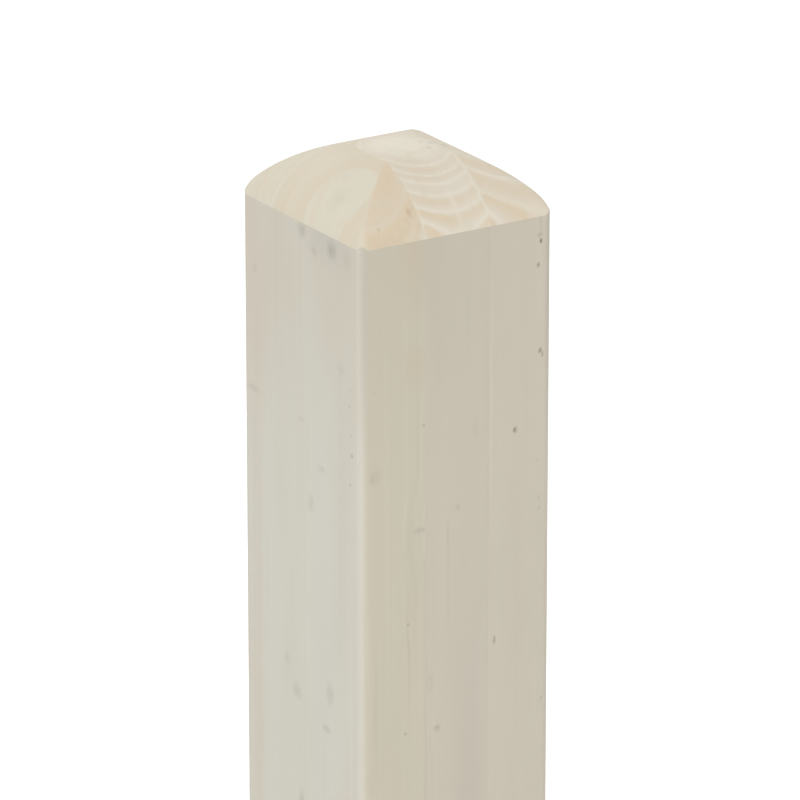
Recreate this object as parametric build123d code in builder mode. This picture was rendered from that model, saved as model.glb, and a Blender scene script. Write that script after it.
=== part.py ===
"""A square wooden post, glued up from three lamellas, with a domed head.

The post stands on its foot. The origin is at the centre of the foot, +Z runs up the
post, and the lamellas are stacked along X, so the glue planes face +X and -X.

The head is cut by one arched cutter, which passes over the post twice: once along Y and
once along X. What is left under both arches is a low dome with four curved faces, which
meet in four hips. The hips run from the top of the head down to the rounded arrises.
"""

import os
from math import cos, radians, sin

from build123d import *

# The planed section and the length, in millimetres
side = 90.0
length = 1000.0
arris_radius = 4.0

# The middle lamella: the two outer ones share what is left of the side
middle_thickness = 30.0

# The cutter's arch. A slope is the steepness in degrees where an arc ends: the crown is
# level over the post's axis and turns into the shoulder at shoulder_slope. The shoulder
# meets the side at eave_slope, short of upright, which leaves a crisp line at the eave.
shoulder_radius = 18.0
shoulder_slope = 47.0
eave_slope = 77.0

# What follows from them
half_side = side / 2
outer_thickness = (side - middle_thickness) / 2
outer_centre = half_side - outer_thickness / 2

shoulder_sin, shoulder_cos = sin(radians(shoulder_slope)), cos(radians(shoulder_slope))
eave_sin, eave_cos = sin(radians(eave_slope)), cos(radians(eave_slope))
crown_reach = half_side - shoulder_radius * (eave_sin - shoulder_sin)
crown_radius = crown_reach / shoulder_sin
turn_height = length - crown_radius * (1 - shoulder_cos)
eave_height = turn_height - shoulder_radius * (shoulder_cos - eave_cos)


def elevation(plane):
    """Draw the post upright on the plane, under the cutter's arch."""
    foot = (half_side, 0)
    eave = (half_side, eave_height)
    turn = (crown_reach, turn_height)
    top = (0, length)
    with BuildSketch(plane) as drawing:
        with BuildLine():
            Polyline((0, 0), foot, eave)
            RadiusArc(eave, turn, -shoulder_radius)
            RadiusArc(turn, top, -crown_radius)
            mirror(about=Plane.YZ)
        make_face()
    return drawing.sketch


front_elevation = elevation(Plane.XZ)
side_elevation = elevation(Plane.YZ)


def cut_head():
    """Pass the cutter over a lamella both ways: keep what lies under both arches."""
    extrude(front_elevation, amount=half_side, both=True, mode=Mode.INTERSECT)
    extrude(side_elevation, amount=half_side, both=True, mode=Mode.INTERSECT)


# The left lamella, with the two arrises of the post's left side
with BuildPart() as left_lamella:
    with BuildSketch(Plane.XY):
        with Locations((-outer_centre, 0)):
            Rectangle(outer_thickness, side)
    extrude(amount=length)
    fillet(edges().filter_by(Axis.Z).group_by(Axis.X)[0], radius=arris_radius)
    cut_head()

# The middle lamella, glued between the other two
with BuildPart() as middle_lamella:
    with BuildSketch(Plane.XY):
        Rectangle(middle_thickness, side)
    extrude(amount=length)
    cut_head()

# The right lamella, with the two arrises of the post's right side
with BuildPart() as right_lamella:
    with BuildSketch(Plane.XY):
        with Locations((outer_centre, 0)):
            Rectangle(outer_thickness, side)
    extrude(amount=length)
    fillet(edges().filter_by(Axis.Z).group_by(Axis.X)[-1], radius=arris_radius)
    cut_head()

left_lamella.part.label = "left_lamella"
middle_lamella.part.label = "middle_lamella"
right_lamella.part.label = "right_lamella"

print(f"crown radius {crown_radius:.2f} mm, head rises {length - eave_height:.2f} mm")

os.makedirs("parts", exist_ok=True)
export_step(left_lamella.part, "parts/left_lamella.step")
export_step(middle_lamella.part, "parts/middle_lamella.step")
export_step(right_lamella.part, "parts/right_lamella.step")
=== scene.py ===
# %% [markdown]
# # A domed post, glued up from three boards
#
# The post is softwood: three boards glued face to face, planed square, given a thin
# whitish wash, and only then cut to a dome by an arched cutter. So the sides are pale
# and flat in tone, and the head shows bare end grain, with its growth rings.
#
# This notebook dresses the three boards of the CAD frame. Each step says what the thing
# is on the real post, how it could be made, and why it is made as it is here.

import math
import random

import bpy
import numpy as np
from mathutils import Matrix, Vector


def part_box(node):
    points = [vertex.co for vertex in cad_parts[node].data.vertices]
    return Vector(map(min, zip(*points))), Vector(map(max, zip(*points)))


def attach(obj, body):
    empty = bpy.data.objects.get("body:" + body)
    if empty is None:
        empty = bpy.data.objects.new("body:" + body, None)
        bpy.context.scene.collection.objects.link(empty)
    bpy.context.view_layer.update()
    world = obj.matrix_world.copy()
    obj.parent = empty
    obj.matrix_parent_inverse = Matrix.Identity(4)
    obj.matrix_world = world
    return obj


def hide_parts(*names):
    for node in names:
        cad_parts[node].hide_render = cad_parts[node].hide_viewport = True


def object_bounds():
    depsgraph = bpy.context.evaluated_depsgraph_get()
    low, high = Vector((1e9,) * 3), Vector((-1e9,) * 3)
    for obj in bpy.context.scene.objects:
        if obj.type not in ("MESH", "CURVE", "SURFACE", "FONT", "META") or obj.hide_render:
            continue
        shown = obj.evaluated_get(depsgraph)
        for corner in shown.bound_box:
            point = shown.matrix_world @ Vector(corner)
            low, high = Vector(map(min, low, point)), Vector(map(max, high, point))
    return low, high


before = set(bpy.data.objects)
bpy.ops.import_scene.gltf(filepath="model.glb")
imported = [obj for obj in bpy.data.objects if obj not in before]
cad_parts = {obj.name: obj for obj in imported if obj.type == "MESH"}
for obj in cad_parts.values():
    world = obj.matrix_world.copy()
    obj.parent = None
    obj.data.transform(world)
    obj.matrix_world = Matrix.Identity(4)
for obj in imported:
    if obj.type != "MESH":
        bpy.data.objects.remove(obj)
cad_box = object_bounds()
print("boards in the frame:", sorted(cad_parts))

# %% [markdown]
# ## Sizes
#
# The frame gives the place of every board, so the side, the length and the two glue
# planes are read from it. The frame's meshes are coarse, and don't tell the radii of the
# rounded arrises and of the cutter's arch. Those are repeated here, as real sizes.
# Blender works in metres, but timber is easier to think about in millimetres.

# %% Read the sizes
MM = 0.001

BOARDS = ("left_lamella", "middle_lamella", "right_lamella")
half_side = cad_box[1].x
length = cad_box[1].z
glue_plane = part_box("middle_lamella")[1].x

arris_radius = 4 * MM
shoulder_radius = 18 * MM
shoulder_slope = math.radians(47)
eave_slope = math.radians(77)

shoulder_run = shoulder_radius * (math.sin(eave_slope) - math.sin(shoulder_slope))
crown_reach = half_side - shoulder_run
crown_radius = crown_reach / math.sin(shoulder_slope)
turn_height = length - crown_radius * (1 - math.cos(shoulder_slope))
shoulder_drop = shoulder_radius * (math.cos(shoulder_slope) - math.cos(eave_slope))
eave = turn_height - shoulder_drop
print(f"side {2000 * half_side:.1f} mm, eave at {1000 * eave:.1f} mm of {1000 * length:.1f} mm")

# %% [markdown]
# ## A language for nodes
#
# Node trees are wired by hand with a mouse, or in code with two lines a link, and both
# are hard to read back. Here a socket is wrapped in a small class that overloads the
# operators, so that `1 - mask * 0.5` adds the Math nodes that it needs. One method,
# `add`, makes every other kind of node. The same class serves the geometry trees and
# the materials, so one formula can both shape the wood and colour it.


# %% The socket class
class Wire:
    """One output of a node, which takes part in Python expressions."""

    def __init__(self, net, socket):
        self.net, self.socket = net, socket

    def math(self, operation, *others):
        inputs = dict(enumerate((self, *others)))
        return self.net.add("ShaderNodeMath", inputs, operation=operation)

    def __add__(self, other):
        return self.math("ADD", other)

    __radd__ = __add__

    def __sub__(self, other):
        return self.math("SUBTRACT", other)

    def __rsub__(self, other):
        return self.math("MULTIPLY_ADD", -1, other)

    def __mul__(self, other):
        return self.math("MULTIPLY", other)

    __rmul__ = __mul__

    def __truediv__(self, other):
        return self.math("DIVIDE", other)

    def __rtruediv__(self, other):
        return self.math("POWER", -1) * other

    def __abs__(self):
        return self.math("ABSOLUTE")

    def fade(self, start, end):
        """0 at the start and 1 at the end, with a soft course between them."""
        inputs = {"Value": self, "From Min": start, "From Max": end}
        return self.net.add("ShaderNodeMapRange", inputs, interpolation_type="SMOOTHSTEP")

    def near(self, centre, reach):
        """1 at the centre, and 0 from the reach on."""
        return abs(self - centre).fade(reach, 0)


class Net:
    """A node tree. Its add() makes a node and hands back one of its outputs."""

    def __init__(self, tree):
        self.tree = tree

    def add(self, kind, inputs=None, out=0, stops=None, **settings):
        node = self.tree.nodes.new(kind)
        for name, value in settings.items():
            setattr(node, name, value)
        if stops:
            ramp = node.color_ramp.elements
            while len(ramp) < len(stops):
                ramp.new(1)
            for element, (position, colour) in zip(ramp, stops):
                element.position = position
                element.color = colour
        for key, value in (inputs or {}).items():
            self.plug(value, node.inputs[key])
        return Wire(self, node.outputs[out])

    def plug(self, value, socket):
        if isinstance(value, Wire):
            self.tree.links.new(value.socket, socket)
        else:
            socket.default_value = value

    def split(self, vector):
        """The three parts of a vector."""
        node = self.add("ShaderNodeSeparateXYZ", {0: vector}).socket.node
        return [Wire(self, output) for output in node.outputs]

    def join(self, x, y, z):
        """A vector of three parts."""
        return self.add("ShaderNodeCombineXYZ", {0: x, 1: y, 2: z})

    def noise(self, x, y, z, detail=2.0, roughness=0.5):
        """Soft noise about 0, from -0.5 to 0.5, one lump to a unit of x, y or z."""
        place = self.join(x, y, z)
        inputs = {"Vector": place, "Scale": 1.0, "Detail": detail, "Roughness": roughness}
        return self.add("ShaderNodeTexNoise", inputs) - 0.5

    def mix(self, first, second, factor):
        """The first colour where the factor is 0, and the second where it is 1."""
        return self.add("ShaderNodeMix", {0: factor, 6: first, 7: second}, out=2, data_type="RGBA")


def paint(red, green, blue):
    """A colour as it looks on a screen, from 0 to 255, in the linear values that nodes use."""
    linear = [((c / 255 + 0.055) / 1.055) ** 2.4 for c in (red, green, blue)]
    return (*linear, 1.0)


print("cream in linear values:", [round(c, 3) for c in paint(226, 220, 203)[:3]])

# %% [markdown]
# ## The growth of each board
#
# A board is a slice of a log. Its growth rings are circles about the pith, the middle of
# the tree, and each board here comes from another tree, or another place in one. So a
# board's whole look follows from where its pith lies and how wide its rings are: arcs on
# the head, and stripes down the sides where the rings meet them.
#
# A generic wood texture could draw this, but its rings would be evenly spaced. Here each
# board has its own list: the radius of a ring in mm, and the tone of the wood there.

# %% The three boards
TONES = {
    "cream": paint(231, 224, 208),
    "straw": paint(226, 219, 203),
    "heart": paint(222, 215, 198),
    "grey": paint(216, 210, 192),
    "ash": paint(211, 205, 187),
    "rose": paint(221, 211, 195),
    "olive": paint(219, 210, 192),
    "sand": paint(220, 208, 190),
    "dun": paint(219, 206, 184),
    "tan": paint(219, 202, 175),
    "fawn": paint(219, 204, 180),
    "amber": paint(215, 198, 173),
    "faint": paint(223, 213, 195),
    "line": paint(228, 220, 205),
}

PITHS = {
    "left_lamella": (-36.7, -15.2),
    "middle_lamella": (1.75, -3.75),
    "right_lamella": (45.75, 11.0),
}

GROWTH = {
    "left_lamella": [
        (0, "ash"), (2, "ash"), (5.5, "heart"), (14.2, "heart"), (14.8, "faint"), (15.6, "tan"),
        (20, "tan"), (22.4, "fawn"), (24.6, "fawn"), (25.6, "dun"), (26.2, "sand"), (27.2, "fawn"),
        (28, "tan"), (30.4, "amber"), (33, "fawn"), (34.4, "amber"), (37.4, "heart"), (38, "line"),
        (39, "olive"), (42, "heart"), (46, "olive"), (47.5, "line"), (48.5, "dun"), (54, "rose"),
        (56, "line"), (58, "dun"), (70, "heart"),
    ],
    "middle_lamella": [
        (0, "cream"), (6.6, "cream"), (8.6, "straw"), (12.4, "straw"), (15, "rose"), (17, "rose"),
        (18.2, "line"), (19.2, "rose"), (20.4, "dun"), (21.6, "sand"), (22.6, "rose"), (23.3, "line"),
        (24, "rose"), (24.8, "dun"), (25.6, "sand"), (26.6, "faint"), (27.2, "line"), (28.5, "rose"),
        (30.8, "rose"), (32, "line"), (32.8, "rose"), (33.6, "dun"), (34.8, "dun"), (36.6, "faint"),
        (37.3, "line"), (38.3, "dun"), (38.9, "tan"), (40.2, "dun"), (41.0, "faint"), (41.6, "line"),
        (42.6, "tan"), (48, "heart"),
    ],
    "right_lamella": [
        (0, "heart"), (6, "cream"), (11, "heart"), (17, "olive"), (18.2, "line"), (19.4, "tan"),
        (24, "olive"), (25, "line"), (26, "tan"), (30.5, "rose"), (31.6, "line"), (33, "tan"),
        (37, "rose"), (41, "heart"), (43.2, "dun"), (45, "dun"), (46.8, "sand"), (47.8, "line"),
        (48.4, "faint"), (49.6, "dun"), (52.6, "dun"), (54.2, "sand"), (55.4, "faint"), (56.2, "faint"),
        (57.4, "tan"), (58.8, "dun"), (60.6, "rose"), (61.6, "line"), (63, "tan"),
    ],
}
widest_ring = 80.0

for name in BOARDS:
    print(name, "pith at", PITHS[name], "mm,", len(GROWTH[name]), "stops")


# %% [markdown]
# ## Pits, knots and smears
#
# Under the wash the sides have a few small faults: open resin pits and pin knots, which
# are real little hollows, and soft grey smears where a knot lies just under the surface.
# They could be painted on, but then a pit would catch no shadow. Here each one is a
# point that the milling step below finds: it sinks the wood there, darkens it, and bends
# the rings around it. Those on the front and the left side are listed at their real
# places. The back, the right side and the shaft further down get a few more from a
# seeded random choice.


# %% List the marks
class Mark:
    """A fault on one side of a board: where it is, how large, how dark and how deep, in mm."""

    def __init__(self, board, side, across, below, half_width, half_height, stain, pit=0.0, bend=0.0):
        self.board, self.side = board, side
        self.across, self.below = across, below
        self.half_width, self.half_height = half_width, half_height
        self.stain, self.pit, self.bend = stain, pit, bend


LEFT, MIDDLE, RIGHT = BOARDS

marks = [
    Mark(RIGHT, "front", 38.5, 7.6, 1.1, 1.0, 0.28, 0.15),
    Mark(RIGHT, "front", 39.1, 10.1, 0.5, 1.0, 1.00, 0.50),
    Mark(RIGHT, "front", 38.0, 20.1, 0.7, 1.1, 0.60, 0.35),
    Mark(RIGHT, "front", 39.1, 56.2, 0.8, 1.2, 0.58, 0.35),
    Mark(RIGHT, "front", 40.2, 57.7, 0.6, 1.2, 0.42, 0.30),
    Mark(RIGHT, "front", 27.4, 87.6, 1.0, 1.2, 0.56, 0.60, 1.6),
    Mark(RIGHT, "front", 38.0, 102.1, 0.6, 0.8, 0.12, 0.15),
    Mark(RIGHT, "front", 38.8, 118.6, 0.6, 0.9, 0.14, 0.20),
    Mark(RIGHT, "front", 39.2, 122.9, 0.6, 0.9, 0.20, 0.20),
    Mark(RIGHT, "front", 17.9, 175.4, 0.6, 1.8, 0.36, 0.35, 0.8),
    Mark(RIGHT, "front", 40.5, 205.3, 0.6, 0.9, 0.20, 0.15),
    Mark(LEFT, "front", -15.6, 77.2, 0.9, 0.5, 0.28, 0.20),
    Mark(LEFT, "front", -39.0, 59.3, 0.6, 0.6, 0.10, 0.10),
    Mark(LEFT, "front", -38.7, 95.1, 2.6, 3.0, 0.12),
    Mark(LEFT, "front", -17.7, 121.2, 2.5, 1.3, 0.18, 0.06, 3.5),
    Mark(LEFT, "front", -23.0, 160.2, 0.6, 0.8, 0.30, 0.15, 1.0),
    Mark(LEFT, "front", -24.4, 207.0, 0.6, 0.7, 0.32, 0.20),
    Mark(MIDDLE, "front", 0.3, 114.9, 0.8, 1.2, 0.16, 0.12),
    Mark(MIDDLE, "front", 8.4, 83.0, 1.2, 3.4, 0.06),
    Mark(MIDDLE, "front", -4.4, 126.0, 0.7, 5.0, 0.10),
    Mark(MIDDLE, "front", -9.3, 207.6, 1.4, 1.3, 0.27, 0.15, 1.6),
    Mark(MIDDLE, "front", -12.6, 187.0, 1.6, 4.0, 0.07),
    Mark(LEFT, "left", -1.3, 2.9, 3.0, 3.0, 0.22),
    Mark(LEFT, "left", -10.4, 9.3, 2.4, 1.6, 0.17),
    Mark(LEFT, "left", -23.5, 5.6, 3.2, 3.2, 0.27, 0.05),
    Mark(LEFT, "left", -35.0, 6.0, 3.0, 3.6, 0.08),
    Mark(LEFT, "left", 35.2, 29.1, 1.5, 1.8, 0.09),
    Mark(LEFT, "left", 36.9, 80.4, 4.6, 1.3, 0.15, 0.0, 1.2),
    Mark(LEFT, "left", -30.1, 52.8, 2.6, 2.2, 0.09),
    Mark(LEFT, "left", 0.2, 82.6, 2.4, 1.0, 0.11),
    Mark(LEFT, "left", -15.4, 99.0, 2.4, 1.3, 0.12),
    Mark(LEFT, "left", -7.2, 116.2, 2.4, 3.6, 0.14, 0.0, 1.6),
    Mark(LEFT, "left", 11.3, 188.7, 1.8, 2.2, 0.11),
    Mark(LEFT, "left", 4.1, 200.5, 3.0, 3.2, 0.16, 0.0, 2.4),
    Mark(LEFT, "left", -21.4, 193.6, 2.6, 4.0, 0.17, 0.0, 2.4),
    Mark(LEFT, "left", -18.3, 209.4, 3.0, 1.6, 0.17),
    Mark(LEFT, "left", 0.8, 249.0, 2.0, 6.0, 0.19, 0.0, 2.0),
    Mark(LEFT, "left", -37.1, 59.5, 0.8, 0.8, 0.11, 0.10),
    Mark(LEFT, "left", -36.6, 66.4, 0.8, 0.5, 0.20, 0.15),
    Mark(LEFT, "left", -37.7, 78.0, 0.5, 0.5, 0.30, 0.20),
    Mark(LEFT, "left", -38.1, 86.6, 0.8, 0.9, 0.34, 0.25),
    Mark(LEFT, "left", -36.9, 99.1, 0.9, 0.6, 0.24, 0.20),
]

eave_mm = eave / MM
seen_depth = 250
end_margin = 20
knots_a_side = 7
SIDES = {
    LEFT: {"front": (-39, -17), "back": (-39, -17), "left": (-38, 38)},
    MIDDLE: {"front": (-12, 12), "back": (-12, 12)},
    RIGHT: {"front": (17, 39), "back": (17, 39), "right": (-38, 38)},
}

chance = random.Random(11)
for board in BOARDS:
    for side, (first, last) in SIDES[board].items():
        highest = seen_depth if side in ("front", "left") else end_margin
        for number in range(knots_a_side):
            size = chance.uniform(0.8, 2.8)
            across = chance.uniform(first, last)
            below = chance.uniform(highest, eave_mm - end_margin)
            stain = chance.uniform(0.1, 0.25)
            marks.append(Mark(board, side, across, below, size, 1.3 * size, stain, 0.1, 1.5 * size))
print(len(marks), "marks on the three boards")

# %% [markdown]
# ## The sawn blank
#
# The milling step moves points, so it needs points to move: close together where there
# is something to cut, and far apart elsewhere. Subdividing the whole post evenly would
# take millions of faces. A blank is a plain box whose grid lines are chosen instead.
# They crowd around each pit, run every 2 mm or so down the part with the finest detail,
# and every 10 mm below it. The lines across X crowd at the pits of the front, and those
# across Y at the pits of the left side, so that neither side pays for the other's.
#
# The glue faces and the foot are flat, so each of them is one large face.


# %% Grid lines
column_step, arris_step = 0.9 * MM, 0.5 * MM
row_step, low_row_step = 2.4 * MM, 10 * MM
pit_step, low_mark_step = 0.4 * MM, 1.6 * MM
pit_half_width, pit_half_height = 1.0, 1.8
groove_reach = 0.3 * MM
touching = 0.01 * MM


def graded(low, high, step, spots, fine, reach):
    """Lines from low to high a step apart, and fine ones around each spot."""
    count = max(1, round((high - low) / step))
    wanted = [low + (high - low) * i / count for i in range(count + 1)]
    turns = round(reach / fine)
    for spot in spots:
        wanted += [spot + fine * i for i in range(-turns, turns + 1)]
    lines, closest = [low], 0.6 * fine
    for line in sorted(wanted):
        if line - lines[-1] > closest and high - line > closest:
            lines.append(line)
    return lines + [high]


def row_lines(board):
    """Heights of the grid's rows up a board, from 0 at the foot to 1 at the head."""
    detailed = eave - seen_depth * MM
    pits, low_marks = [], []
    for mark in marks:
        if mark.board == board and mark.below > seen_depth:
            low_marks.append(eave - mark.below * MM)
        elif mark.board == board and mark.half_height <= pit_half_height:
            pits.append(eave - mark.below * MM)
    upper = graded(detailed, eave, row_step, pits, pit_step, 4 * pit_step)
    lower = graded(0, detailed, low_row_step, low_marks, low_mark_step, 2 * low_mark_step)
    return [z / eave for z in lower[:-1] + upper]


def cross_lines(side):
    """Lines across the post, close together at its arrises, glue planes and a side's pits."""
    seen = [mark for mark in marks if mark.side == side and mark.below < seen_depth]
    pits = [mark.across * MM for mark in seen if mark.half_width <= pit_half_width]
    arris = half_side - arris_radius
    edges = [half_side, arris, glue_plane + groove_reach, glue_plane, glue_plane - groove_reach]
    edges = [-edge for edge in edges] + edges[::-1]
    lines = [edges[0]]
    for low, high in zip(edges, edges[1:]):
        step = arris_step if abs(low + high) > 2 * arris else column_step
        within = [pit for pit in pits if low < pit < high]
        lines += graded(low, high, step, within, pit_step, 2 * pit_step)[1:]
    return lines


x_lines, y_lines = cross_lines("front"), cross_lines("left")
print(len(x_lines), "by", len(y_lines), "lines across")
print(len(row_lines(LEFT)), "rows up the left board")


# %% Build a blank
def blank(board):
    """A box of a board, gridded on its outer sides and head, with its sharp edges marked."""
    low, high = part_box(board)
    xs = [x for x in x_lines if low.x - touching < x < high.x + touching]
    ys, rows = y_lines, row_lines(board)
    last_x, last_y, top = len(xs) - 1, len(ys) - 1, len(rows) - 1
    index, points = {}, []

    def at(i, j, k):
        if (i, j, k) not in index:
            index[i, j, k] = len(points)
            points.append((xs[i], ys[j], rows[k]))
        return index[i, j, k]

    faces, raw_faces = [], []

    def face(corners, raw=False):
        faces.append([at(*corner) for corner in corners])
        raw_faces.append(raw)

    for i in range(last_x):
        for k in range(top):
            face([(i, 0, k), (i + 1, 0, k), (i + 1, 0, k + 1), (i, 0, k + 1)])
            face([(i + 1, last_y, k), (i, last_y, k), (i, last_y, k + 1), (i + 1, last_y, k + 1)])
    for j in range(last_y):
        for k in range(top):
            if board == LEFT:
                face([(0, j + 1, k), (0, j, k), (0, j, k + 1), (0, j + 1, k + 1)])
            if board == RIGHT:
                face([(last_x, j, k), (last_x, j + 1, k), (last_x, j + 1, k + 1), (last_x, j, k + 1)])
    for i in range(last_x):
        for j in range(last_y):
            face([(i, j, top), (i + 1, j, top), (i + 1, j + 1, top), (i, j + 1, top)], raw=True)

    def end_face(i):
        """The whole glue face at one x, as one outline that faces +X."""
        there = [(i, j, 0) for j in range(last_y)] + [(i, last_y, k) for k in range(top)]
        back = [(i, j, top) for j in range(last_y, 0, -1)] + [(i, 0, k) for k in range(top, 0, -1)]
        return there + back

    if board != LEFT:
        face(reversed(end_face(0)), raw=True)
    if board != RIGHT:
        face(end_face(last_x), raw=True)
    foot = [(0, j, 0) for j in range(last_y)]
    foot += [(i, last_y, 0) for i in range(last_x)]
    foot += [(last_x, j, 0) for j in range(last_y, 0, -1)]
    foot += [(i, 0, 0) for i in range(last_x, 0, -1)]
    face(foot, raw=True)

    mesh = bpy.data.meshes.new(board + "_blank")
    mesh.from_pydata(points, [], faces)
    mesh.shade_smooth()
    mesh.attributes.new("end_grain", "BOOLEAN", "FACE").data.foreach_set("value", raw_faces)

    creases = {}
    glue_columns = {LEFT: (last_x,), MIDDLE: (0, last_x), RIGHT: (0,)}[board]
    for (i, j, k), number in index.items():
        outer_edge = i in (0, last_x) or j in (0, last_y)
        lies_on = {
            "foot": k == 0 and outer_edge,
            "head": k == top and outer_edge,
            "glue": i in glue_columns and j in (0, last_y),
        }
        creases[number] = {crease for crease in lies_on if lies_on[crease]}
    sharp = [bool(creases[edge.vertices[0]] & creases[edge.vertices[1]]) for edge in mesh.edges]
    mesh.attributes.new("sharp_edge", "BOOLEAN", "EDGE").data.foreach_set("value", sharp)
    print(board, len(faces), "faces,", sum(sharp), "sharp edges")
    return mesh


# %% [markdown]
# ## The mark points
#
# The milling tree looks up the nearest mark from every point of the wood. It gets them
# as a little mesh of single points, each with its sizes as attributes. `inward` is the
# way into the wood from the mark's side of the post.

# %% Place the marks
INWARD = {"front": (0, 1, 0), "back": (0, -1, 0), "left": (1, 0, 0), "right": (-1, 0, 0)}


def mark_points(board):
    """One point for each mark of a board, with its sizes in metres as attributes."""
    own = [mark for mark in marks if mark.board == board]
    places, reaches = [], []
    for mark in own:
        inward = Vector(INWARD[mark.side])
        along = Vector((abs(inward.y), abs(inward.x), 0))
        place = along * mark.across * MM - inward * half_side
        places.append((place.x, place.y, eave - mark.below * MM))
        reach = along * mark.half_width + Vector(map(abs, inward)) * 2
        reaches.append((reach.x * MM, reach.y * MM, mark.half_height * MM))
    mesh = bpy.data.meshes.new(board + "_marks")
    mesh.from_pydata(places, [], [])
    vectors = {"reach": reaches, "inward": [INWARD[mark.side] for mark in own]}
    for name, values in vectors.items():
        layer = mesh.attributes.new(name, "FLOAT_VECTOR", "POINT")
        layer.data.foreach_set("vector", np.ravel(values))
    numbers = {
        "pit": [mark.pit * MM for mark in own],
        "stain": [mark.stain for mark in own],
        "bend": [mark.bend for mark in own],
    }
    for name, values in numbers.items():
        layer = mesh.attributes.new(name, "FLOAT", "POINT")
        layer.data.foreach_set("value", values)
    points = bpy.data.objects.new(board + "_marks", mesh)
    bpy.context.scene.collection.objects.link(points)
    return points


# %% [markdown]
# ## The rings, as one formula
#
# How far a point lies from the pith decides its tone. A real tree is a little out of
# round, and leans, so soft noise pushes the rings in and out, more so further down the
# post. `bend` pushes them around a knot. The function takes a Net, so the milling tree
# and the materials both get the same rings.


# %% The ring formula
lean_x, lean_y = 0.004, -0.006


def ring_radius(net, board, place, bend):
    """How far the place, in mm, lies from the pith, in mm, with a tree's unevenness."""
    x, y, z = net.split(place)
    below = eave_mm - z
    pith_x, pith_y = PITHS[board]
    east = x - pith_x - below * lean_x
    north = y - pith_y - below * lean_y
    sway = net.noise(x * 0.05, y * 0.05, z * 0.004)
    ripple = net.noise(x * 0.22, y * 0.22, z * 0.012)
    distance = (east * east + north * north).math("SQRT")
    return distance + sway * (0.8 + below.fade(30, 400) * 8) + ripple * 0.9 + bend


def ring_stops(board):
    """The board's growth as stops of a colour ramp, which runs from the pith to the widest ring."""
    return [(radius / widest_ring, TONES[tone]) for radius, tone in GROWTH[board]]


# %% [markdown]
# ## Milling
#
# A rule gives the post its shape, so Geometry Nodes cut it. The tree takes a blank and
# does what the workshop does, in the same order: the planer rounds the arrises and
# leaves a hair's breadth less along the glue lines, the arched cutter takes the head
# down, and a sanding pad softens its hips. Every input has a name, so the shape can be
# played with in the modifier.
#
# Rounding is a change of place: in the corner of the section, a square patch of the grid
# is squeezed to a quarter circle. The head is as simple. The cutter passes both ways, so
# the height of the wood is that of the lower arch, and that is the arch at the larger of
# the two distances from the axis. A smooth maximum, in place of the plain one, is what
# sands the hips: it differs only where the two distances are nearly equal. The blank's
# rows run from 0 to 1, and are stretched to that height. Last, the pits are sunk, and
# the rings of the head get their fine relief.

# %% The milling tree
LENGTHS = {
    "Half side": half_side,
    "Arris radius": arris_radius,
    "Head height": length,
    "Crown radius": crown_radius,
    "Crown reach": crown_reach,
    "Shoulder radius": shoulder_radius,
    "Shoulder centre across": half_side - shoulder_radius * math.sin(eave_slope),
    "Shoulder centre height": eave - shoulder_radius * math.cos(eave_slope),
    "Ring relief": 0.08 * MM,
    "Glue plane": glue_plane,
    "Glue groove": 0.04 * MM,
    "Hip softness": 4.5 * MM,
}


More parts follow.
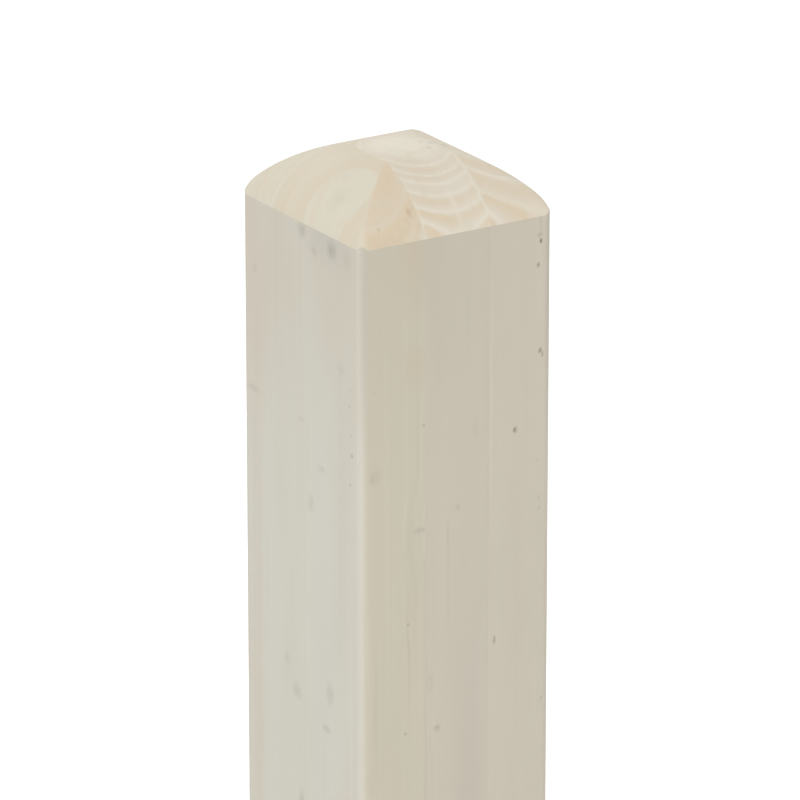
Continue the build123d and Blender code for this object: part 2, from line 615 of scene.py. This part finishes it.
def milling_tree(board, washed, bare):
    """The tree that mills one board's blank, and lays its two finishes on it."""
    tree = bpy.data.node_groups.new(board + "_milling", "GeometryNodeTree")
    new_socket = tree.interface.new_socket
    new_socket(name="Blank", in_out="INPUT", socket_type="NodeSocketGeometry")
    new_socket(name="Marks", in_out="INPUT", socket_type="NodeSocketObject")
    for name in LENGTHS:
        new_socket(name=name, in_out="INPUT", socket_type="NodeSocketFloat")
    new_socket(name="Board", in_out="OUTPUT", socket_type="NodeSocketGeometry")
    net = Net(tree)
    entry = tree.nodes.new("NodeGroupInput")
    given = {output.name: Wire(net, output) for output in entry.outputs if output.name}

    x, y, row = net.split(net.add("GeometryNodeInputPosition"))
    on_head = row.fade(0.9999, 1)
    across, deep = abs(x), abs(y)

    # The planer rounds the arrises, and eases the glue lines
    start = given["Half side"] - given["Arris radius"]
    u = ((across - start) / given["Arris radius"]).math("MAXIMUM", 0)
    v = ((deep - start) / given["Arris radius"]).math("MAXIMUM", 0)
    squeeze_x = given["Arris radius"] * u * (1 - (1 - v * v * 0.5).math("SQRT"))
    squeeze_y = given["Arris radius"] * v * (1 - (1 - u * u * 0.5).math("SQRT"))
    seam = abs(across - given["Glue plane"]).math("LESS_THAN", touching)
    seam = seam * (given["Half side"] - deep).math("LESS_THAN", touching)
    x = (across - squeeze_x) * x.math("SIGN")
    y = (deep - squeeze_y - seam * given["Glue groove"]) * y.math("SIGN")

    # The cutter passes both ways
    reach = abs(x).math("SMOOTH_MAX", abs(y), given["Hip softness"])
    crown = (given["Crown radius"].math("POWER", 2) - reach * reach).math("SQRT")
    crown = given["Head height"] - given["Crown radius"] + crown
    aside = reach - given["Shoulder centre across"]
    shoulder = given["Shoulder radius"].math("POWER", 2) - aside * aside
    shoulder = given["Shoulder centre height"] + shoulder.math("MAXIMUM", 0).math("SQRT")
    on_crown = reach.math("LESS_THAN", given["Crown reach"])
    height = on_crown * crown + (1 - on_crown) * shoulder
    z = row * height

    # Each point looks up its nearest mark
    listed = net.add("GeometryNodeObjectInfo", {"Object": given["Marks"]}, out="Geometry")
    place = net.join(x, y, z)
    nearest = net.add("GeometryNodeSampleNearest", {"Geometry": listed, "Sample Position": place})

    def looked_up(name, kind="FLOAT"):
        value = net.add("GeometryNodeInputPosition")
        if name != "position":
            value = net.add("GeometryNodeInputNamedAttribute", {"Name": name}, data_type=kind)
        inputs = {"Geometry": listed, "Value": value, "Index": nearest}
        return net.add("GeometryNodeSampleIndex", inputs, data_type=kind)

    spot = looked_up("position", "FLOAT_VECTOR")
    half_sizes = looked_up("reach", "FLOAT_VECTOR")
    way_in = looked_up("inward", "FLOAT_VECTOR")

    # How far away the mark is, with its own half sizes as the unit, decides what it does
    stain_reach, pit_reach, bend_reach = 1.5, 1.1, 4.5
    offset = net.add("ShaderNodeVectorMath", {0: place, 1: spot}, operation="SUBTRACT")
    scaled = net.add("ShaderNodeVectorMath", {0: offset, 1: half_sizes}, operation="DIVIDE")
    away = net.add("ShaderNodeVectorMath", {0: scaled}, out="Value", operation="LENGTH")
    stain = looked_up("stain") * away.fade(stain_reach, 0.4)
    sink = looked_up("pit") * away.fade(pit_reach, 0.2) * (1 - on_head)
    inward = net.add("ShaderNodeVectorMath", {0: way_in, 3: sink}, operation="SCALE")

    # The rings bend round it four times further along the post than across it
    stretched = net.add("ShaderNodeVectorMath", {0: scaled, 1: (1, 1, 0.25)}, operation="MULTIPLY")
    around = net.add("ShaderNodeVectorMath", {0: stretched}, out="Value", operation="LENGTH")
    bend = looked_up("bend") * around.fade(bend_reach, 0)

    # The soft wood of each ring lies a little lower on the head: the blue in its tone tells it
    soft_blue, hard_blue = 0.62, 0.36
    place_mm = net.add("ShaderNodeVectorMath", {0: place, 3: 1 / MM}, operation="SCALE")
    radius = ring_radius(net, board, place_mm, 0.0)
    tone = net.add("ShaderNodeValToRGB", {"Fac": radius / widest_ring}, stops=ring_stops(board))
    hard = net.split(tone)[2].fade(soft_blue, hard_blue)
    inside = (given["Half side"] - reach).fade(0, 1 * MM)
    lowered = z - given["Ring relief"] * on_head * (1 - hard) * inside
    cut = net.add("ShaderNodeVectorMath", {0: net.join(x, y, lowered), 1: inward}, operation="ADD")

    # A field is worked out where it is used: so the marks are stored before the blank changes
    made = given["Blank"]
    for name, value in {"stain": stain, "bend": bend}.items():
        inputs = {"Geometry": made, "Name": name, "Value": value}
        made = net.add("GeometryNodeStoreNamedAttribute", inputs, data_type="FLOAT", domain="POINT")
    made = net.add("GeometryNodeSetPosition", {"Geometry": made, "Position": cut})
    raw = net.add("GeometryNodeInputNamedAttribute", {"Name": "end_grain"}, data_type="BOOLEAN")
    made = net.add("GeometryNodeRealizeInstances", {"Geometry": made})
    made = net.add("GeometryNodeSetMaterial", {"Geometry": made, "Material": washed})
    made = net.add("GeometryNodeSetMaterial", {"Geometry": made, "Selection": raw, "Material": bare})
    result = tree.nodes.new("NodeGroupOutput")
    net.plug(made, result.inputs["Board"])
    return tree


# %% Mill a board
def mill(board, washed, bare):
    """Run a blank through its tree, and keep what comes out as a plain mesh."""
    points = mark_points(board)
    work = bpy.data.objects.new(board + "_work", blank(board))
    bpy.context.scene.collection.objects.link(work)
    tree = milling_tree(board, washed, bare)
    modifier = work.modifiers.new("Milling", "NODES")
    modifier.node_group = tree
    for item in tree.interface.items_tree:
        if item.name in LENGTHS:
            modifier[item.identifier] = LENGTHS[item.name]
        if item.name == "Marks":
            modifier[item.identifier] = points
    evaluated = work.evaluated_get(bpy.context.evaluated_depsgraph_get())
    mesh = bpy.data.meshes.new_from_object(evaluated)
    mesh.name = board
    work.modifiers.remove(modifier)
    for spent in (work, points):
        bpy.data.objects.remove(spent)
    piece = bpy.data.objects.new(board + "_milled", mesh)
    bpy.context.scene.collection.objects.link(piece)
    triangles = sum(len(polygon.vertices) - 2 for polygon in mesh.polygons)
    print(piece.name, len(mesh.vertices), "points,", triangles, "triangles")
    return piece


# %% [markdown]
# ## Patches of tone
#
# Rings and fibres follow rules. What is left is chance: a patch that took the wash
# differently, a little crack in the end grain, a glue line that shows. These are listed
# one by one, like the marks, but they are only colour, so the materials place them.


# %% List the patches
class Tint:
    """A soft patch of another tone, in mm. On the head, across is x and below is y."""

    def __init__(self, board, side, across, below, half_width, half_height, colour, strength):
        self.board, self.side = board, side
        self.across, self.below = across, below
        self.half_width, self.half_height = half_width, half_height
        self.colour, self.strength = colour, strength


STAIN = paint(128, 120, 104)
RUST = paint(176, 122, 92)
SUNNY = paint(202, 188, 166)
MIST = paint(194, 190, 181)
DUSK = paint(193, 186, 175)
PALE = paint(218, 214, 201)
PINK = paint(208, 198, 182)
OCHRE = paint(186, 177, 158)

tints = [
    Tint(MIDDLE, "head", -5, 2, 14, 14, TONES["cream"], 0.9),
    Tint(MIDDLE, "head", 2, -39, 2, 9, TONES["line"], 0.5),
    Tint(LEFT, "head", -26, 14, 22, 20, TONES["straw"], 0.35),
    Tint(MIDDLE, "head", 8, -5, 1.4, 1.4, STAIN, 0.25),
    Tint(MIDDLE, "head", 12.6, -5.4, 2.2, 2.0, STAIN, 0.30),
    Tint(MIDDLE, "head", 8, -11, 1.2, 1.2, STAIN, 0.25),
    Tint(MIDDLE, "head", 13.5, -19, 1.2, 1.2, STAIN, 0.08),
    Tint(RIGHT, "head", 17, -8, 2.2, 2.2, STAIN, 0.30),
    Tint(RIGHT, "head", 26, -28, 1.2, 1.2, STAIN, 0.15),
    Tint(LEFT, "head", -19, -38.5, 1.8, 1.8, RUST, 0.28),
    Tint(LEFT, "head", -35, -42, 1.0, 1.0, STAIN, 0.2),
    Tint(LEFT, "front", -20, 2, 11, 34, SUNNY, 0.55),
    Tint(LEFT, "front", -19, 52, 9, 12, SUNNY, 0.50),
    Tint(LEFT, "front", -20, 140, 6, 60, OCHRE, 0.2),
    Tint(LEFT, "front", -14.6, 230, 0.8, 190, STAIN, 0.08),
    Tint(LEFT, "front", -18.6, 86, 0.7, 30, STAIN, 0.08),
    Tint(LEFT, "front", -22.6, 172, 0.6, 40, STAIN, 0.12),
    Tint(LEFT, "front", -38.2, 192, 1.2, 36, STAIN, 0.08),
    Tint(MIDDLE, "front", -14.6, 230, 0.8, 190, STAIN, 0.08),
    Tint(MIDDLE, "front", 5, 32, 1.8, 34, MIST, 0.30),
    Tint(MIDDLE, "front", 6.5, 290, 12, 235, DUSK, 0.4),
    Tint(MIDDLE, "front", -4, 145, 1.2, 32, STAIN, 0.05),
    Tint(RIGHT, "front", 16, 75, 1.6, 80, PALE, 0.25),
    Tint(RIGHT, "front", 30, 300, 24, 110, MIST, 0.15),
    Tint(RIGHT, "front", 38.7, 2, 1.8, 7, STAIN, 0.10),
    Tint(LEFT, "left", 40, 20, 22, 90, PINK, 0.60),
    Tint(LEFT, "left", 34, 300, 8, 400, PINK, 0.55),
    Tint(LEFT, "left", -22, 2, 26, 16, MIST, 0.55),
    Tint(LEFT, "left", -30, 115, 12, 100, OCHRE, 0.12),
]
print(len(tints), "soft patches")


# %% [markdown]
# ## Bare end grain
#
# The head was cut last, so it has no wash: it is matt, warm and shows every ring. The
# ramp gives the ring's tone. The left and right slopes of the dome are painted a little
# greyer: a painted sheen, as the fibre ends there, which the cutter crossed the other way,
# take the light differently. Three things break the rings up. Patches of
# a browner, a greyer and a paler tone lie over them. Fine specks stand for the cut ends
# of the fibres. And a pale line runs along each glue plane, where the glue has soaked
# the fibres and they cut clean. The foot has the same bare wood, without the patches
# that are listed for the head.


# %% The end grain material
half_side_mm, glue_plane_mm = half_side / MM, glue_plane / MM


def in_mm(net):
    """The place of a shaded point on the post, in mm."""
    place = net.add("ShaderNodeTexCoord", out="Object")
    return net.add("ShaderNodeVectorMath", {0: place, 3: 1 / MM}, operation="SCALE")


def attribute(net, name):
    """What the milling tree stored on the mesh under this name."""
    return net.add("ShaderNodeAttribute", out="Fac", attribute_name=name)


def new_material(name):
    """A material, its tree as a Net, and its Principled shader."""
    material = bpy.data.materials.new(name)
    material.use_nodes = True
    net = Net(material.node_tree)
    return material, net, material.node_tree.nodes["Principled BSDF"]


def end_grain(board):
    """Bare wood, cut across the fibres."""
    material, net, shader = new_material(board + "_end_grain")
    place = in_mm(net)
    x, y, z = net.split(place)
    radius = ring_radius(net, board, place, 0.0)
    colour = net.add("ShaderNodeValToRGB", {"Fac": radius / widest_ring}, stops=ring_stops(board))

    if board != MIDDLE:
        # Painted sheen: the left and right slopes are painted greyer, as their fibre ends, cut the
        # other way, take the light differently
        painted_slope_sheen = (abs(x) - abs(y)).fade(-0.6, 0.6)
        colour = net.mix(colour, TONES["grey"], painted_slope_sheen * 0.55)
    else:
        colour = net.mix(colour, TONES["straw"], x.fade(-4, 10) * 0.3)
    patches = net.noise(x * 0.1, y * 0.1, z * 0.03 + 7, detail=3, roughness=0.6)
    colour = net.mix(colour, TONES["dun"], patches.fade(0.0, 0.2) * 0.5)
    colour = net.mix(colour, TONES["grey"], patches.fade(0.0, -0.2) * 0.4)
    blotches = net.noise(x * 0.5 + 3, y * 0.5, z * 0.1)
    colour = net.mix(colour, TONES["line"], blotches.fade(0.02, 0.25) * 0.2)
    specks = net.noise(x * 2.4, y * 2.4, z * 0.3, detail=3, roughness=0.7)
    colour = net.mix(colour, TONES["dun"], specks.fade(0.05, 0.3) * 0.35)
    wander, head_only = blotches * 4, z.fade(900, 950)
    for tint in tints:
        if tint.board == board and tint.side == "head":
            loose = min(1, tint.half_width / 4)
            here = (x + wander * loose).near(tint.across, tint.half_width)
            here = here * (y - wander * loose).near(tint.below, tint.half_height)
            colour = net.mix(colour, tint.colour, here * tint.strength * head_only)
    shows = (y.fade(-30, -38) + x.fade(-10, 10)).math("MINIMUM", 1)
    broken = net.noise(y * 0.3, z * 0.1, 3).fade(-0.35, 0.1)
    glue = abs(x).near(glue_plane_mm, 1.3) * shows * broken * y.fade(-14, -22)
    colour = net.mix(colour, TONES["line"], glue * 0.75)

    net.plug(colour, shader.inputs["Base Color"])
    net.plug(0.78 + specks * 0.1, shader.inputs["Roughness"])
    shader.inputs["Specular IOR Level"].default_value = 0.25
    grain = net.add("ShaderNodeBump", {"Height": specks, "Strength": 0.12, "Distance": 0.1 * MM})
    net.plug(grain, shader.inputs["Normal"])
    return material


# %% [markdown]
# ## Washed sides
#
# The wash is thin: the wood shows through as faint stripes, where the rings meet the
# side, and the fibres leave fine streaks in it. Two noise textures, drawn out fifty and
# ninety times further up the post than across it, make the streaks, which run round a
# knot as the rings do. The edges and the broad side of each board took the wash a little
# differently, so each has its own tone. Near the head all of them are painted a little
# darker and more ochre: painted shade against the brighter light that falls on the top.
# The arrises are painted greyer, and most so near the head on their halves that turn to
# the front and back: painted shade, which tones down the highlight of their rounding.

# %% The washed material
WASH = {
    LEFT: {"edge": paint(204, 198, 180), "broad": paint(210, 208, 196)},
    MIDDLE: {"edge": paint(203, 196, 180)},
    RIGHT: {"edge": paint(205, 198, 182), "broad": paint(205, 200, 185)},
}
SLATE = paint(190, 186, 174)


def washed_sides(board):
    """Planed long grain under a thin whitish wash."""
    material, net, shader = new_material(board + "_washed")
    place = in_mm(net)
    x, y, z = net.split(place)
    below = eave_mm - z
    bend = attribute(net, "bend")
    radius = ring_radius(net, board, place, bend)
    rings = net.add("ShaderNodeValToRGB", {"Fac": radius / widest_ring}, stops=ring_stops(board))

    wash = WASH[board]["edge"]
    if "broad" in WASH[board]:
        on_broad = abs(x).fade(half_side_mm - 2.5, half_side_mm - 1)
        wash = net.mix(wash, WASH[board]["broad"], on_broad)
    clouds = net.noise(x * 0.03, y * 0.03, z * 0.008 + 4)
    wash = net.mix(wash, PINK, clouds.fade(0.0, 0.25) * 0.45)
    wash = net.mix(wash, SLATE, clouds.fade(-0.02, -0.3) * 0.3)
    colour = net.mix(wash, rings, 0.07)

    bent_x, bent_y = x + bend, y + bend
    fibres = net.noise(bent_x * 0.9, bent_y * 0.9, z * 0.010, detail=4, roughness=0.6)
    streaks = net.noise(bent_x * 0.2 + radius * 0.3, bent_y * 0.2, z * 0.004)
    colour = net.mix(colour, SLATE, fibres.fade(0.02, 0.3) * 0.2)
    colour = net.mix(colour, PALE, streaks.fade(0.02, 0.3) * 0.25)
    # Painted shade on the arrises: greyer all down, and more so near the head on the half that turns to
    # the front and back, to tone down their highlight
    arris_start, arris_end = half_side_mm - 4.2, half_side_mm - 1.8
    arris = abs(x).fade(arris_start, arris_end) * abs(y).fade(arris_start, arris_end)
    painted_arris_shade = below.fade(110, 20) * abs(x).fade(half_side_mm, half_side_mm - 1.5)
    colour = net.mix(colour, SLATE, arris * (0.11 + painted_arris_shade * 0.65))
    # Painted shade: darker and more ochre towards the head, where the light falls brighter
    colour = net.mix(colour, OCHRE, below.fade(130, 0) * 0.18)

    wander = net.noise(x * 0.05, y * 0.05, z * 0.05, detail=3) * 5
    for tint in tints:
        if tint.board != board or tint.side == "head":
            continue
        if tint.side == "front":
            across, facing = bent_x, y.fade(1 - half_side_mm, -half_side_mm)
        else:
            across, facing = bent_y, x.fade(1 - half_side_mm, -half_side_mm)
        here = (across + wander * min(1, tint.half_width / 3)).near(tint.across, tint.half_width)
        here = here * (below + wander * 2).near(tint.below, tint.half_height)
        colour = net.mix(colour, tint.colour, here * facing * tint.strength)
    stain = attribute(net, "stain")
    ragged = net.noise(x * 0.7, y * 0.7, z * 0.35, detail=3)
    colour = net.mix(colour, STAIN, (stain * (1 + ragged * 2)).math("MAXIMUM", 0))

    net.plug(colour, shader.inputs["Base Color"])
    net.plug(0.62 + fibres * 0.15, shader.inputs["Roughness"])
    shader.inputs["Specular IOR Level"].default_value = 0.3
    relief = fibres * 0.7 + net.noise(x * 3, y * 3, z * 0.03) * 0.3
    grain = net.add("ShaderNodeBump", {"Height": relief, "Strength": 0.15, "Distance": 0.15 * MM})
    net.plug(grain, shader.inputs["Normal"])
    return material


# %% [markdown]
# ## Put the boards in the frame
#
# Each milled board stands for its CAD board, which is hidden, and rides on the post's one body.

# %% Mill and dress the boards
for board in BOARDS:
    piece = mill(board, washed_sides(board), end_grain(board))
    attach(piece, "root")
    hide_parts(board)

# %% [markdown]
# ## The studio
#
# The post stands on a pale floor, in soft white light from all round: a white sky, and
# four large lamps. The strongest is at the front left, so the left side is the lighter
# one and the near arris catches it. The others keep the front, the right and the back
# from going dull. The background is white for the camera alone: it sees a brighter sky
# than the one that lights the post, and a floor that glows. The glow is weaker by the
# foot, so that the post's shadow stays on the floor.

# %% Floor, world and lamps
floor_reach = 4.0
corners = [(-1, -1, 0), (1, -1, 0), (1, 1, 0), (-1, 1, 0)]
floor_mesh = bpy.data.meshes.new("floor")
floor_mesh.from_pydata([Vector(corner) * floor_reach for corner in corners], [], [(0, 1, 2, 3)])
floor = bpy.data.objects.new("floor", floor_mesh)
bpy.context.scene.collection.objects.link(floor)

material, net, shader = new_material("pale_floor")
shader.inputs["Base Color"].default_value = (0.8, 0.8, 0.8, 1)
shader.inputs["Roughness"].default_value = 1.0
shader.inputs["Specular IOR Level"].default_value = 0.0
spot = net.add("ShaderNodeTexCoord", out="Object")
away = net.add("ShaderNodeVectorMath", {0: spot}, out="Value", operation="LENGTH")
glow = net.add("ShaderNodeEmission", {"Color": (1, 1, 1, 1), "Strength": 0.6})
seen = net.add("ShaderNodeLightPath", out="Is Camera Ray")
glow = net.add("ShaderNodeMixShader", {0: seen * (away.fade(0.1, 0.75) + 0.5) / 1.5, 2: glow})
both = net.add("ShaderNodeAddShader", {0: Wire(net, shader.outputs[0]), 1: glow})
net.plug(both, material.node_tree.nodes["Material Output"].inputs["Surface"])
floor_mesh.materials.append(material)

world = bpy.data.worlds.new("studio")
bpy.context.scene.world = world
world.use_nodes = True
net = Net(world.node_tree)
sky_strength = 0.575
rays = net.add("ShaderNodeLightPath").socket.node.outputs
kinds = ("Is Camera Ray", "Is Glossy Ray", "Is Transmission Ray")
direct, glossy, through = [Wire(net, rays[kind]) for kind in kinds]
seen = (direct + glossy + through).math("MINIMUM", 1)
background = world.node_tree.nodes["Background"]
background.inputs["Color"].default_value = (1, 1, 1, 1)
net.plug(seen * (1 - sky_strength) + sky_strength, background.inputs["Strength"])


lamp_target = Vector((0, 0, 0.75 * length))


def lamp(name, azimuth, elevation, distance, size, watts):
    """A square area lamp that looks at the upper part of the post."""
    data = bpy.data.lights.new(name, "AREA")
    data.size = size
    data.energy = watts
    light = bpy.data.objects.new(name, data)
    a, e = math.radians(azimuth), math.radians(elevation)
    back = Vector((math.sin(a) * math.cos(e), -math.cos(a) * math.cos(e), math.sin(e)))
    light.location = lamp_target + back * distance
    light.rotation_euler = back.to_track_quat("Z", "Y").to_euler()
    light.visible_camera = False
    bpy.context.scene.collection.objects.link(light)


lamp("key", azimuth=-64, elevation=25, distance=2.6, size=1.6, watts=26.5)
lamp("fill", azimuth=-5, elevation=25, distance=3.0, size=2.0, watts=13.5)
lamp("right", azimuth=80, elevation=20, distance=2.6, size=1.8, watts=14)
lamp("back", azimuth=165, elevation=35, distance=2.6, size=1.8, watts=18)

# %% [markdown]
# ## The camera
#
# A long lens from well back, turned to look at the near left corner from a little above.
# The point on the post's axis at the height of the eave has a known place in the picture,
# so the camera aims beside it by that much.

# %% Camera
view_azimuth = math.radians(-32.3)
view_elevation = math.radians(19.7)
view_distance = 2.88
lens = 326.3
eave_right, eave_up = -1.31 * MM, 78.35 * MM

back = Vector((
    math.sin(view_azimuth) * math.cos(view_elevation),
    -math.cos(view_azimuth) * math.cos(view_elevation),
    math.sin(view_elevation),
))
right = Vector((math.cos(view_azimuth), math.sin(view_azimuth), 0))
up = back.cross(right)
target = Vector((0, 0, eave)) - right * eave_right - up * eave_up
data = bpy.data.cameras.new("camera")
data.lens = lens
data.sensor_width = 36
data.clip_start = 0.01
data.clip_end = 100
camera = bpy.data.objects.new("camera", data)
camera.location = target + back * view_distance
camera.rotation_euler = back.to_track_quat("Z", "Y").to_euler()
bpy.context.scene.collection.objects.link(camera)
bpy.context.scene.camera = camera
bpy.context.scene.view_settings.view_transform = "Standard"
print("camera at", [round(c, 3) for c in camera.location])
